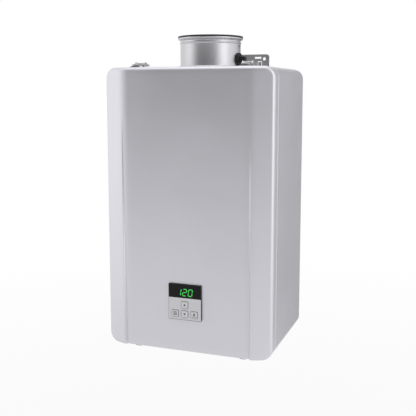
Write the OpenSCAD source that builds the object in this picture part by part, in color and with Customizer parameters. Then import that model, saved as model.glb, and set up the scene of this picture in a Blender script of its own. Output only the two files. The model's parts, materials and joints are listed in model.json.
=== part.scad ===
// Wall-hung tankless gas water heater with a concentric vent collar, in millimetres.
// X runs across the case, +Y points into the wall and +Z points up.
// The origin lies midway between the two upper wall screws, on the wall's surface.

/* [Case] */
// Width of the case
case_w = 356; // [340:1:400]
// Height of the case
case_h = 576; // [560:1:660]
// Depth of the case with its cover on
case_d = 256; // [250:1:290]
// Radius of the case's four corners, seen from the front
corner_r = 22; // [14:1:28]
// Thickness of the painted steel sheet
sheet = 1; // [0.8:0.1:1.6]
// Depth of the band of the front frame that shows behind the cover
frame_band = 15.4; // [12:0.2:18]
// Width of the flange that carries the cover's gasket
frame_flange_w = 16; // [13:1:22]
// Thickness of the cover's foam gasket
gasket_t = 4; // [2:0.5:6]
// Width of the cover's foam gasket
gasket_w = 9; // [6:1:10]

/* [Cover] */
// Depth of the cover, from its front face to its rear edge
cover_d = 42; // [38:1:48]
// Gap left between the cover and the front frame
cover_gap = 0.6; // [0.4:0.1:1]
// Half the width of the flat middle of the cover
cover_flat = 120; // [110:1:126]
// Radius of the bend from the flat middle to the side bevels
cover_bend_r = 71; // [50:1:80]
// Angle of the side bevels
cover_bevel = 20.5; // [16:0.5:24]
// Radius of the roll along the cover's edges
cover_roll_r = 8; // [5:0.5:10]
// Half the width of the sunk middle panel
recess_half = 134.8; // [128:0.2:140]
// How far the middle panel is sunk at its lower end
recess_depth = 5.5; // [3:0.5:7]

/* [Wall brackets] */
// Thickness of the wall brackets
bracket_t = 2; // [1.5:0.5:3]
// Width of the wall brackets
bracket_w = 202; // [194:1:240]
// How far a bracket reaches past the end of the case
bracket_reach = 34; // [31:1:40]
// How far a bracket reaches over the back of the case
bracket_lap = 60; // [54:1:80]
// Radius of the brackets' corners
bracket_corner_r = 6; // [3:1:9]
// Distance between the two wall screws of a bracket
screw_spacing = 180; // [178:1:184]
// Diameter of the wall screw holes
screw_hole_d = 7; // [5:0.5:8]
// Height of the upper wall screws above the case
hole_rise = 24; // [22:0.5:26]
// Diameter of the screws that hold a bracket to the back plate
bracket_screw_d = 4; // [3:0.5:5]

/* [Vent] */
// Distance of the vent's axis from the wall
vent_to_wall = 104; // [100:1:108]
// Inside diameter of the vent collar
vent_d = 125; // [118:1:128]
// Thickness of the vent collar
vent_wall = 1.5; // [1:0.1:2]
// Height of the vent collar without its seal
vent_h = 63.5; // [60:0.5:72]
// How far the collar's rim stands out
vent_rim = 5; // [3:0.5:7]
// Width of the collar's foot flange
vent_foot = 12; // [10:1:16]
// Height of the stop inside the collar
vent_stop_h = 34; // [32:0.5:36]
// Height of the black seal on the rim
rim_seal_h = 3.5; // [2:0.5:5]
// Inside diameter of the exhaust socket
exhaust_d = 77; // [70:1:84]
// Height of the exhaust socket above the case
exhaust_rise = 24; // [20:1:25]
// Height of the test port above the case
port_h = 18.5; // [17:0.5:20]
// Angle of the test port from the right towards the front
port_turn = 6; // [0:1:12]
// Diameter of the test port's bore
port_d = 14; // [10:1:16]
// Diameter of the test port cap's flange
cap_flange_d = 27; // [22:1:29]
// Diameter of the test port cap's grip
cap_grip_d = 13; // [9:1:15]
// Length of the test port cap's grip
cap_grip_len = 13; // [8:1:16]

/* [Latches] */
// Distance of the latches from the middle of the case
latch_x = 115; // [100:1:125]
// Width of a latch lever
latch_w = 22; // [20:1:26]
// Length of a latch lever behind its pivot
lever_len = 22; // [20:1:28]
// Height of the lever's pivot above the case
pivot_h = 5; // [4.5:0.25:6]
// Diameter of the pivot pin
pin_d = 2.5; // [2:0.25:3]
// Thickness of the latch plates
latch_t = 1.5; // [1:0.25:2]
// How far in front of the pivot the bail's cross bar lies
bail_reach = 21; // [19:0.5:23]
// Diameter of the bail's wire
bail_d = 2.5; // [2:0.1:2.8]

/* [Control panel] */
// Width of the control panel
panel_w = 70; // [66:1:80]
// Distance of the panel's top from the case's top
panel_drop = 433; // [380:1:440]
// Height of the display window
window_h = 28; // [24:1:34]
// Height of the keypad
keypad_h = 45.5; // [44:0.5:52]
// Thickness of the window and the keypad
face_t = 1.5; // [1:0.25:2]
// Width of a button
button_w = 15; // [12:0.5:16]
// Height of a button
button_h = 14.5; // [12:0.5:15.5]
// Travel of a button
button_travel = 0.8; // [0.4:0.1:1]
// Distance between the columns of buttons
button_pitch_x = 20.5; // [18:0.5:22]
// Distance between the rows of buttons
button_pitch_z = 19; // [18:0.5:20]
// Height of the lit figures
figure_h = 13.5; // [10:0.5:15]
// Width of a lit figure
figure_w = 8; // [7:0.2:9]
// Number shown on the display
reading = "120"; // [120, 110, 98]

/* [Connections] */
// Outside diameter of the threaded stubs
stub_d = 26.6; // [20:0.2:33]
// Bore of the threaded stubs
stub_bore = 19; // [14:0.5:21]
// How far the stubs reach below the case
stub_reach = 30; // [28:1:42]
// Distance of the gas stub left of the middle
gas_x = 110; // [105:1:116]
// Distance of the cold stub right of the middle
cold_x = 95; // [90:1:100]
// Distance of the hot stub right of the middle
hot_x = 25; // [15:1:32]
// Distance from the cold stub to the filter plug
filter_pitch = 38; // [36:1:42]
// Diameter of the filter plug's barrel
filter_d = 18; // [14:1:20]
// Bore of the cord gland
gland_bore = 7; // [5:0.5:9]

/* [Heating stack] */
// Width of the heat exchanger
stack_w = 176; // [166:1:184]
// Depth of the heat exchanger
stack_d = 120; // [116:1:126]
// Height of the exhaust hood
hood_h = 58; // [50:1:64]
// Height of the heat exchanger
exchanger_h = 60; // [50:1:70]
// Height of the combustion chamber
chamber_h = 120; // [100:1:130]
// Height of the burner box
burner_h = 70; // [60:1:76]
// Wall of the heating stack
stack_wall = 1.5; // [1:0.25:2]
// Number of fins on the heat exchanger
fin_count = 14; // [8:1:20]
// Number of burner bars
bar_count = 9; // [7:1:11]
// Outside diameter of the water tubes
tube_d = 14; // [11:0.5:15]
// Radius of the fan's scroll
fan_r = 54; // [50:1:56]
// Depth of the fan's scroll
fan_d = 60; // [54:1:66]

/* [Hidden] */
$fn = 64;

// Clearances
// Overlap of a cutting tool past the face it cuts
eps = 1;
// Gap between pieces that move past each other
gap = 0.3;
// Radial clearance of a pin or shaft in its bore
run_fit = 0.05;

// Main planes of the case
front_y = -(bracket_t + case_d);
back_y = -bracket_t;
inner_back_y = back_y - sheet;
top_z = -hole_rise;
bottom_z = top_z - case_h;
middle_z = (top_z + bottom_z) / 2;
inner_half_w = case_w / 2 - sheet;

// Screws between the brackets and the back plate
bracket_screw_x = 60;
bracket_screw_inset = 12;
bracket_screw_head_h = 2.5;

// Depths behind the cover's front face
frame_front = cover_d + cover_gap;
shell_front = frame_front + frame_band;
lip_inset = sheet + cover_gap;
lip_reach = 12;
lip_front = cover_d - lip_reach;
gasket_inset = lip_inset + 3;

// Latch, seen from its side: u runs rearwards from the pivot, w away from the case
latch_setback = 3.4;
latch_depth = frame_front + latch_setback;
bail_u = 4;
bail_rise = 4;
bail_w = pivot_h + bail_rise;
bail_bar_w = pivot_h + 0.5;
bail_arm_x = 5;
ear_r = 3;
keeper_len = 14;
keeper_lip_t = 1.8;
bail_arm_d = bail_d - 0.3;
flange_x = latch_w / 2 - latch_t;
ear_x = flange_x - 1 - latch_t;
keeper_h = bail_bar_w - bail_d / 2 - gap;

// Heating stack, piled up under the vent
vent_y = -vent_to_wall;
hood_gap = 12;
hood_top = top_z - hood_gap;
exchanger_top = hood_top - hood_h;
chamber_top = exchanger_top - exchanger_h;
burner_top = chamber_top - chamber_h;
burner_floor = burner_top - burner_h;
hood_skirt_h = 12;
burner_lap = 7;
burner_half_w = stack_w / 2 + burner_lap;
burner_wall = 2;
burner_margin = 4;
burner_front = vent_y - stack_d / 2 - burner_margin;
burner_back = vent_y + stack_d / 2 + burner_margin;
tube_count = 6;
tube_inset = 10;
tube_pitch = (stack_d - 2 * tube_inset) / (tube_count - 1);
tube_z = exchanger_top - exchanger_h / 2;
tube_overhang = 8;
tube_end = stack_w / 2 + tube_overhang;
fin_t = 1;
fin_inset = 8;
bar_inset = 8;
bar_gap = 8;
bar_pitch = 2 * (burner_half_w - bar_inset) / bar_count;
electrode_x = 28;
electrode_rise = 12;
electrode_d = 4;
electrode_out = 14;
electrode_in = 45;
igniter_w = 28;
igniter_half_d = 22;
igniter_h = 35;
igniter_rise = 10;
hanger_t = 2;
hanger_h = 20;
hanger_inset = 15;

// Fan under the burner box
fan_x = 30;
fan_wall = 2;
fan_drop = 8;
fan_z = burner_floor - fan_r - fan_drop;
fan_front = vent_y - fan_d / 2;
fan_back = vent_y + fan_d / 2;
fan_outlet_inset = 10;
fan_outlet_x = fan_x - fan_outlet_inset;
impeller_gap = 8;
impeller_r = fan_r - impeller_gap;
shaft_d = 8;
motor_d = 64;
motor_len = 46;
motor_flange = 7;

// Pipework, between the connections behind the lower latches and the heat exchanger
hex_d = 42;
hex_h = 14;
stub_clearance = 15;
stub_y = at_depth(latch_depth + lever_len + hex_d / 2 + stub_clearance);
pipe_y = vent_y - (tube_count - 1) * tube_pitch / 2;
return_y = vent_y + (tube_count - 1) * tube_pitch / 2;
stub_rise = 40;
stub_top = bottom_z + stub_rise;
stub_bore_end = bottom_z + 19;
block_rise = 42;
block_top = bottom_z + block_rise;
block_half = 20;
sensor_h = 70;
sensor_top = block_top + sensor_h;
sensor_d = 40;
sensor_wall = 5;
sensor_bar_h = 4;
sensor_bars = [block_top + 14, sensor_top - 14 - sensor_bar_h];
sensor_axle_d = 3;
valve_h = 48;
valve_half = 22;
valve_top = sensor_top + valve_h;
valve_motor_d = 32;
valve_motor_len = 26;
cold_jog_h = 24;
hot_jog_h = 62;
riser_gap = 30;
riser_x = burner_half_w + riser_gap;
riser_pitch = 25;
hot_riser_x = riser_x + riser_pitch;
gas_valve_rise = 110;
gas_valve_top = bottom_z + gas_valve_rise;
gas_valve_half_w = 32;
gas_pipe_d = 14;
gas_union_h = 8;
solenoid_d = 26;
solenoid_h = 24;
solenoid_x = 16;
solenoid_back = 32;
manifold_h = 16;
manifold_inset = 3;
nozzle_d = 6;
nozzle_len = 12;
manifold_front = burner_front - nozzle_len - manifold_h;
manifold_rise = 22;
manifold_z = burner_floor + manifold_rise;
gas_pipe_y = manifold_front + manifold_h / 2;
filter_x = cold_x + filter_pitch;
filter_depth = 32;
filter_head_h = 12;
gland_x = -20;
gland_y = -45;
gland_wall = 4;
gland_d = gland_bore + 2 * gland_wall;
gland_head_h = 10;
gland_len = 12;

// Controller between the left wall and the igniter
service_gap = 14;
controller_t = inner_half_w - burner_half_w - igniter_w - service_gap;
controller_inner_x = controller_t - inner_half_w;
controller_half_d = 80;
controller_low_drop = 120;
controller_low = burner_floor - controller_low_drop;
controller_top_drop = 60;
controller_top = chamber_top - controller_top_drop;
controller_wall = 2.5;
louvre_count = 6;
louvre_pitch = 24;
louvre_w = 14;
louvre_h = 40;
louvre_drop = 30;

// Control panel on the sunk middle of the cover
panel_top = top_z - panel_drop;
window_bottom = panel_top - window_h;
panel_bottom = window_bottom - keypad_h;
panel_front = 0.3;
housing_w = panel_w - 1.6;
housing_back = 20;
housing_wall = 1.8;
board_front = 9;
board_t = 1.6;
switch_h = 2;
button_row_rise = 12.5;
button_row_z = panel_bottom + button_row_rise;
button_proud = 0.6;
button_corner_r = 2;
stem_d = 4;
figure_gap = 4.2;
figure_level = 0.58;
figure_lean = 0.14;
figure_bar = 1.8;
figure_film = 0.2;
// Lit bars of each figure, named a to g from the top bar clockwise, with g in the middle
SEGMENTS = [
    "abcdef", "bc", "abdeg", "abcdg", "bcfg", "acdfg", "acdefg", "abc", "abcdefg", "abcdfg"
];

// Vent collar
collar_r = vent_d / 2;
collar_out_r = collar_r + vent_wall;
collar_foot_t = 2;
collar_stop = 2.5;
collar_bead_drop = 11;
collar_screw_d = 3;
collar_screw_h = 47;
seal_clearance = 1;
port_flange_t = 2;
port_wall = 1.9;

// Colours of the finishes
paint = "#b5b4ba";
steel = "#a9abad";
zinc = "#99999b";
black = "#1c1c1e";
copper = "#b87346";
brass = "#b79b57";

function at_depth(t) = front_y + t;

function arc(centre, r, from, to, steps = 8) =
    [for (i = [0 : steps]) let (a = from + (to - from) * i / steps) centre + r * [cos(a), sin(a)]];

function mirrored(points) = [for (i = [len(points) - 1 : -1 : 0]) [-points[i][0], points[i][1]]];

// A rounded rectangle about the origin
module rounded_rect(w, h, r) {
    square([w - 2 * r, h], center = true);
    square([w, h - 2 * r], center = true);
    for (x = [-1, 1], y = [-1, 1])
        translate([x * (w / 2 - r), y * (h / 2 - r)]) circle(r);
}

// Stands a front-view outline up between two Y planes
module stand(y0, y1, z = 0) {
    translate([0, y1, z]) rotate([90, 0, 0]) linear_extrude(y1 - y0) children();
}

// Runs a side-view outline (Y, Z) across a width, centred on X = 0
module across(w) {
    rotate([90, 0, 90]) translate([0, 0, -w / 2]) linear_extrude(w) children();
}

// A box between two corners
module block(low, high) {
    translate(low) cube(high - low);
}

// A round bar between two points
module rod(from, to, d) {
    run = to - from;
    length = norm(run);
    translate(from)
        rotate([0, acos(run[2] / length), atan2(run[1], run[0])])
            cylinder(d = d, h = length);
}

// Straight pipes between points, with a swollen elbow at each turn; points that coincide count once
module pipe_run(points, d) {
    turns = [
        for (i = [0 : len(points) - 1])
            if (i == 0 || norm(points[i] - points[i - 1]) > run_fit) points[i]
    ];
    for (i = [0 : len(turns) - 2]) rod(turns[i], turns[i + 1], d);
    for (i = [1 : len(turns) - 2]) translate(turns[i]) sphere(d = d * 1.2);
}

// A ring of the case's outline, inset from its outer face
module case_ring(y0, y1, inset, wall) {
    stand(y0, y1, middle_z) difference() {
        case_outline(inset);
        case_outline(inset + wall);
    }
}

module case_outline(inset) {
    rounded_rect(case_w - 2 * inset, case_h - 2 * inset, max(corner_r - inset, 1));
}

// Holes through the case's bottom for the connections
module bottom_holes() {
    for (x = [-gas_x, cold_x, hot_x])
        translate([x, stub_y, bottom_z - eps]) cylinder(d = stub_d + 2 * gap, h = sheet + 2 * eps);
    translate([filter_x, stub_y, bottom_z - eps]) cylinder(d = filter_d + 2, h = sheet + 2 * eps);
    translate([gland_x, gland_y, bottom_z - eps])
        cylinder(d = gland_d + 2 * gap, h = sheet + 2 * eps);
}

module collar_screw_places() {
    for (a = [45 : 90 : 315])
        translate([0, vent_y, top_z]) rotate([0, 0, a])
            translate([collar_out_r + vent_foot / 2, 0, 0]) children();
}

module collar_screw_hole(depth) {
    cylinder(d = collar_screw_d + 0.4, h = depth + 2 * eps);
}

module case_shell() {
    color(paint) difference() {
        case_ring(at_depth(shell_front), inner_back_y, 0, sheet);
        translate([0, vent_y, top_z - sheet - eps])
            cylinder(d = vent_d - 2 * collar_stop, h = sheet + 2 * eps);
        collar_screw_places() translate([0, 0, -sheet - eps]) collar_screw_hole(sheet);
        bottom_holes();
    }
}

module front_frame() {
    color(paint) {
        case_ring(at_depth(frame_front), at_depth(shell_front), 0, sheet);
        case_ring(at_depth(frame_front), at_depth(frame_front + sheet), 0, lip_inset + sheet);
        case_ring(at_depth(lip_front), at_depth(frame_front + sheet), lip_inset, sheet);
        case_ring(at_depth(lip_front), at_depth(lip_front + sheet), lip_inset, frame_flange_w);
    }
}

module cover_gasket() {
    color(black)
        case_ring(at_depth(lip_front - gasket_t), at_depth(lip_front), gasket_inset, gasket_w);
}

module back_plate() {
    color(paint) difference() {
        stand(inner_back_y, back_y, middle_z) case_outline(0);
        bracket_screw_places() bracket_screw_hole();
    }
}

// Places of the screws between the brackets and the back plate, on the wall's surface
module bracket_screw_places() {
    drops = [bracket_screw_inset + 6, bracket_lap - bracket_screw_inset];
    for (x = [-bracket_screw_x, bracket_screw_x], drop = drops)
        translate([x, 0, 0]) {
            translate([0, 0, top_z - drop]) children();
            translate([0, 0, bottom_z + drop]) children();
        }
}

// Plate of a wall bracket about the end of the case that it is fixed to, reaching up
module bracket_blank() {
    height = bracket_reach + bracket_lap;
    difference() {
        translate([0, (bracket_reach - bracket_lap) / 2]) rounded_rect(bracket_w, height, bracket_corner_r);
        for (x = [-1, 1]) translate([x * screw_spacing / 2, hole_rise]) circle(d = screw_hole_d);
    }
}

// Slot and bent tongue beside each screw hole of the upper bracket
module bracket_cuts() {
    slit = 1.5;
    slot = [15, 4];
    slot_x = 75.5;
    slot_z = hole_rise + 0.6;
    tongue_x = 79.6;
    tongue_w = 6.8;
    tongue_low = 4;
    tongue_top = 17.4;
    for (side = [-1, 1]) {
        translate([side * slot_x - slot[0] / 2, slot_z]) square(slot);
        translate([side * tongue_x, 0]) difference() {
            translate([-tongue_w / 2 - slit, tongue_low])
                square([tongue_w + 2 * slit, tongue_top - tongue_low + slit]);
            translate([-tongue_w / 2, tongue_low - eps]) square([tongue_w, tongue_top - tongue_low + eps]);
        }
    }
}

module upper_wall_bracket() {
    color(zinc) difference() {
        stand(back_y, 0, top_z) difference() {
            bracket_blank();
            bracket_cuts();
        }
        bracket_screw_places() bracket_screw_hole();
    }
}

module lower_wall_bracket() {
    color(zinc) difference() {
        stand(back_y, 0, bottom_z) mirror([0, 1]) bracket_blank();
        bracket_screw_places() bracket_screw_hole();
    }
}

module bracket_screw_hole() {
    rotate([90, 0, 0]) cylinder(d = bracket_screw_d + 2 * run_fit, h = 4 * bracket_t, center = true);
}

module bracket_screws() {
    color(steel) bracket_screw_places() {
        rod([0, inner_back_y, 0], [0, -gap, 0], bracket_screw_d);
        rod([0, inner_back_y - bracket_screw_head_h, 0], [0, inner_back_y, 0], 2 * bracket_screw_d);
    }
}

// Half of the cover's plan outline, (X, depth), inset from its outer face
function cover_half_plan(inset) =
    let (
        roll_x = case_w / 2 - cover_roll_r,
        bend_end_x = cover_flat + cover_bend_r * sin(cover_bevel),
        bend_end_t = cover_bend_r * (1 - cos(cover_bevel)),
        roll_start_x = roll_x + cover_roll_r * sin(cover_bevel),
        roll_t = bend_end_t + (roll_start_x - bend_end_x) * tan(cover_bevel)
            + cover_roll_r * cos(cover_bevel)
    )
    concat(
        arc([cover_flat, cover_bend_r], cover_bend_r - inset, -90, cover_bevel - 90),
        arc([roll_x, roll_t], cover_roll_r - inset, cover_bevel - 90, 0)
    );

// Solid form of the cover, inset from its outer face, reaching back to a depth
module cover_form(inset, back) {
    half = cover_half_plan(inset);
    top = top_z - inset;
    bottom = bottom_z + inset;
    roll = cover_roll_r - inset;
    side = concat(
        [[back, bottom]],
        [[back, top]],
        arc([cover_roll_r, top_z - cover_roll_r], roll, 90, 180),
        arc([cover_roll_r, bottom_z + cover_roll_r], roll, 180, 270)
    );
    end_x = case_w / 2 - inset;
    plan = concat([[-end_x, back]], mirrored(half), half, [[end_x, back]]);
    difference() {
        intersection() {
            translate([0, front_y, bottom_z - eps]) linear_extrude(case_h + 2 * eps) polygon(plan);
            translate([0, front_y, 0]) across(case_w + 2 * eps) polygon(side);
            stand(front_y - eps, at_depth(back + eps), middle_z) case_outline(inset);
        }
        translate([0, front_y + inset, 0]) across(2 * (recess_half + inset))
            polygon([[-2 * eps, top_z], [0, top_z], [recess_depth, bottom_z], [-2 * eps, bottom_z]]);
    }
}

module front_cover() {
    color(paint) difference() {
        cover_form(0, cover_d);
        cover_form(sheet, cover_d + eps);
        block(
            [-housing_w / 2, front_y - eps, panel_bottom + (panel_w - housing_w) / 2],
            [housing_w / 2, at_depth(housing_back), panel_top - (panel_w - housing_w) / 2]
        );
    }
}

// Collar for the outer vent pipe, with its foot, stop, bead and rim; it is narrower below the stop
module flue_collar() {
    r = collar_r;
    out = collar_out_r;
    low_r = r - 1;
    stop_r = r - collar_stop;
    bead_h = vent_h - collar_bead_drop;
    color(steel) difference() {
        translate([0, vent_y, top_z]) rotate_extrude($fn = 96) polygon([
            [stop_r, 0], [out + vent_foot, 0], [out + vent_foot, collar_foot_t], [out, collar_foot_t],
            [out, bead_h - 1.5], [out + 1.2, bead_h], [out, bead_h + 1.5],
            [out, vent_h - 5.5], [out + vent_rim, vent_h - 2.5], [out + vent_rim, vent_h], [r, vent_h],
            [r, vent_stop_h], [stop_r, vent_stop_h], [stop_r, vent_stop_h - collar_stop],
            [low_r, vent_stop_h - collar_stop], [low_r, collar_foot_t], [stop_r, collar_foot_t]
        ]);
        at_port(port_h, port_turn) rod([-5, 0, 0], [15, 0, 0], port_d + 4);
        at_port(collar_screw_h) rod([-5, 0, 0], [15, 0, 0], collar_screw_d + 0.2);
        collar_screw_places() translate([0, 0, -eps]) collar_screw_hole(collar_foot_t);
    }
}

// Puts something on the right of the collar's bore, at a height above the case, turned towards the front
module at_port(height, turn = 0) {
    translate([0, vent_y, top_z + height]) rotate([0, 0, -turn]) translate([collar_r, 0, 0]) children();
}

module flue_rim_seal() {
    low_r = collar_r + seal_clearance;
    high_r = collar_out_r + vent_rim;
    color(black) translate([0, vent_y, top_z + vent_h]) rotate_extrude($fn = 96) polygon([
        [low_r, 0], [high_r, 0], [high_r, rim_seal_h - 1],
        [high_r - 1, rim_seal_h], [low_r + 1, rim_seal_h], [low_r, rim_seal_h - 1]
    ]);
}

module exhaust_socket() {
    r = exhaust_d / 2;
    flange_w = 8;
    height = top_z + exhaust_rise - hood_top;
    color(steel) translate([0, vent_y, hood_top]) rotate_extrude($fn = 96) polygon([
        [r, 0], [r + flange_w, 0], [r + flange_w, stack_wall], [r + stack_wall, stack_wall],
        [r + stack_wall, height], [r, height]
    ]);
}

module collar_screws() {
    color(steel) {
        collar_screw_places() {
            translate([0, 0, collar_foot_t]) cylinder(d = 7, h = 2.2);
            translate([0, 0, -sheet]) cylinder(d = collar_screw_d, h = collar_foot_t + sheet);
        }
        at_port(collar_screw_h) {
            rod([gap, 0, 0], [vent_wall + gap, 0, 0], collar_screw_d);
            rod([vent_wall + gap, 0, 0], [vent_wall + 2, 0, 0], 5);
        }
    }
}

// Bush through the collar's wall for a flue-gas test probe
module test_port_boss() {
    color(steel) at_port(port_h, port_turn) difference() {
        union() {
            rod([-1, 0, 0], [vent_wall + gap, 0, 0], port_d + 2 * port_wall);
            rod([vent_wall + gap, 0, 0], [vent_wall + port_flange_t, 0, 0], cap_flange_d - 1);
        }
        rod([-2, 0, 0], [vent_wall + port_flange_t + eps, 0, 0], port_d);
    }
}

module test_port_cap() {
    flange_t = 2;
    plug_len = 3;
    color(black) at_port(port_h, port_turn) translate([vent_wall + port_flange_t + gap, 0, 0]) {
        rod([-plug_len - gap, 0, 0], [0, 0, 0], port_d - 2 * gap);
        rod([0, 0, 0], [flange_t, 0, 0], cap_flange_d);
        rod([flange_t, 0, 0], [flange_t + cap_grip_len, 0, 0], cap_grip_d);
    }
}

// Puts a latch drawn about its pivot's foot on the top (1) or bottom (-1) of the case
module at_latch(side, end) {
    translate([side * latch_x, at_depth(latch_depth), end > 0 ? top_z : bottom_z])
        mirror([0, 0, end > 0 ? 0 : 1]) children();
}

module at_latches() {
    for (side = [-1, 1], end = [-1, 1]) at_latch(side, end) children();
}

module latch_base() {
    difference() {
        union() {
            across(2 * flange_x - 2 * gap) translate([-ear_r, 0]) square([lever_len, latch_t]);
            for (side = [-1, 1]) translate([side * (ear_x + latch_t / 2), 0, 0]) across(latch_t) {
                translate([-ear_r, 0]) square([2 * ear_r, pivot_h]);
                translate([0, pivot_h]) circle(ear_r);
            }
        }
        translate([0, 0, pivot_h]) rotate([0, 90, 0])
            cylinder(d = pin_d + 2 * run_fit, h = latch_w, center = true);
    }
}

module latch_bases() {
    color(steel) at_latches() latch_base();
}

module latch_pins() {
    color(steel) at_latches()
        translate([0, 0, pivot_h]) rotate([0, 90, 0]) cylinder(d = pin_d, h = latch_w + 1, center = true);
}

// Pressed lever: two side flanges joined by a sloping thumb plate
module latch_lever(side, end) {
    crown_w = bail_w + 2.2;
    crown_u = 6.5;
    tip_w = 5.6;
    toe_u = -3.2;
    heel_w = 2;
    slope = (tip_w - crown_w) / (lever_len - crown_u);
    plate_u = crown_u + 2;
    plate_w = crown_w + slope * (plate_u - crown_u);
    color(steel) at_latch(side, end) difference() {
        union() {
            for (x = [-1, 1]) translate([x * (flange_x + latch_t / 2), 0, 0]) across(latch_t)
                polygon([
                    [toe_u, pivot_h - 1.8], [toe_u, pivot_h + 1.5], [1.2, crown_w], [crown_u, crown_w],
                    [lever_len, tip_w], [lever_len, tip_w - 1.8], [4, heel_w], [-1.5, heel_w]
                ]);
            across(latch_w) polygon([
                [plate_u, plate_w - latch_t], [plate_u, plate_w], [lever_len, tip_w],
                [lever_len + 3, tip_w + 1.6], [lever_len + 3, tip_w + 0.2], [lever_len, tip_w - latch_t]
            ]);
        }
        for (hole = [[0, pivot_h, pin_d], [bail_u, bail_w, bail_d]])
            translate([0, hole[0], hole[1]]) rotate([0, 90, 0])
                cylinder(d = hole[2] + 2 * run_fit, h = 2 * latch_w, center = true);
    }
}

// Wire bail: a cross bar in the lever, two arms and a cross bar over the keeper
module latch_bail(side, end) {
    bar_half = latch_w / 2;
    color(steel) at_latch(side, end) {
        rod([-bar_half, bail_u, bail_w], [bar_half, bail_u, bail_w], bail_d);
        rod([-bail_arm_x, -bail_reach, bail_bar_w], [bail_arm_x, -bail_reach, bail_bar_w], bail_d);
        for (x = [-bail_arm_x, bail_arm_x]) {
            rod([x, bail_u, bail_w], [x, -bail_reach, bail_bar_w], bail_arm_d);
            translate([x, -bail_reach, bail_bar_w]) sphere(d = bail_d + 0.3);
        }
    }
}

// Keepers on the cover, with a low lip that the bails lie over
module latch_keepers() {
    color(steel) at_latches() across(latch_w - 4) {
        translate([-bail_reach - keeper_len / 2, 0]) square([keeper_len, latch_t]);
        translate([-bail_reach + 0.8, 0]) square([keeper_lip_t, keeper_h]);
    }
}

// Black housing behind the control panel, let into the cover
module control_housing() {
    top = panel_top - (panel_w - housing_w) / 2;
    bottom = panel_bottom + (panel_w - housing_w) / 2;
    color(black) {
        difference() {
            block(
                [-housing_w / 2, at_depth(panel_front + face_t), bottom],
                [housing_w / 2, at_depth(housing_back), top]
            );
            block(
                [-housing_w / 2 + housing_wall, front_y, bottom + housing_wall],
                [housing_w / 2 - housing_wall, at_depth(housing_back - housing_wall), top - housing_wall]
            );
        }
        for (x = [-1, 1], z = [bottom + 6, top - 6])
            translate([x * (housing_w / 2 - 6), 0, z])
                rod([0, at_depth(board_front + board_t), 0], [0, at_depth(housing_back - 1), 0], 5);
    }
}

// Places one button's centre, by column and row, at the panel's front
module at_button(column, row) {
    translate([column * button_pitch_x, at_depth(panel_front), button_row_z + row * button_pitch_z])
        children();
}

module at_buttons() {
    for (place = [[0, 1], [0, 0], [-1, 0], [1, 0]]) at_button(place[0], place[1]) children();
}

module display_window() {
    color(black)
        stand(at_depth(panel_front), at_depth(panel_front + face_t), (panel_top + window_bottom) / 2)
            square([panel_w, window_h], center = true);
}

module keypad() {
    color("#c9c9cd") difference() {
        stand(at_depth(panel_front), at_depth(panel_front + face_t), (window_bottom + panel_bottom) / 2)
            square([panel_w, keypad_h], center = true);
        at_buttons() stand(-eps, face_t + eps)
            rounded_rect(button_w + 2 * gap, button_h + 2 * gap, button_corner_r + gap);
    }
}

module button(column, row) {
    stem_end = board_front - switch_h - button_travel - gap;
    color("#d4d4d8") at_button(column, row) {
        stand(-button_proud, face_t + 1.2) rounded_rect(button_w, button_h, button_corner_r);
        rod([0, face_t + 1, 0], [0, stem_end - panel_front, 0], stem_d);
    }
}

// Circuit board with a tact switch behind each button
module control_board() {
    inset = (panel_w - housing_w) / 2 + housing_wall + gap;
    color("#2f6b45") {
        block(
            [-panel_w / 2 + inset, at_depth(board_front), panel_bottom + inset],
            [panel_w / 2 - inset, at_depth(board_front + board_t), panel_top - inset]
        );
        at_buttons() block(
            [-3, board_front - switch_h - panel_front, -3],
            [3, board_front - panel_front, 3]
        );
    }
}

// One bar of a figure: its centre and whether it stands upright
function segment(name) =
    name == "a" ? [[0, figure_h / 2], false] :
    name == "b" ? [[figure_w / 2, figure_h / 4], true] :
    name == "c" ? [[figure_w / 2, -figure_h / 4], true] :
    name == "d" ? [[0, -figure_h / 2], false] :
    name == "e" ? [[-figure_w / 2, -figure_h / 4], true] :
    name == "f" ? [[-figure_w / 2, figure_h / 4], true] : [[0, 0], false];

// Corners of one lit bar of a figure, leaning as the figure does
function bar_corners(place) =
    let (
        half = (place[1] ? figure_h / 2 : figure_w) / 2 - gap,
        b = figure_bar / 2,
        flat = [[-half, 0], [b - half, b], [half - b, b], [half, 0], [half - b, -b], [b - half, -b]]
    )
    [for (p = flat) let (q = place[0] + (place[1] ? [-p[1], p[0]] : p)) [q[0] + figure_lean * q[1], q[1]]];

module display_digits() {
    pitch = figure_w + figure_gap;
    last = len(reading) - 1;
    centre_z = panel_top - window_h * figure_level;
    color("#3fc455")
        stand(at_depth(panel_front - figure_film), at_depth(panel_front), centre_z)
            for (i = [0 : last])
                translate([(i - last / 2) * pitch, 0])
                    for (name = SEGMENTS[ord(reading[i]) - ord("0")]) polygon(bar_corners(segment(name)));
}

// Threaded stub through the case's bottom, with a hexagon under the sheet
module stub(top) {
    difference() {
        union() {
            translate([0, 0, bottom_z - stub_reach]) cylinder(d = stub_d, h = top - bottom_z + stub_reach);
            translate([0, 0, bottom_z - hex_h]) cylinder(d = hex_d, h = hex_h, $fn = 6);
        }
        stub_bore_cut();
    }
}

module stub_bore_cut() {
    low = bottom_z - stub_reach - eps;
    translate([0, 0, low]) cylinder(d = stub_bore, h = stub_bore_end - low);
}

module gas_inlet() {
    color(steel) translate([-gas_x, stub_y, 0]) stub(stub_top);
}

module hot_outlet() {
    color(brass) translate([hot_x, stub_y, 0]) stub(stub_top);
}

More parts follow.
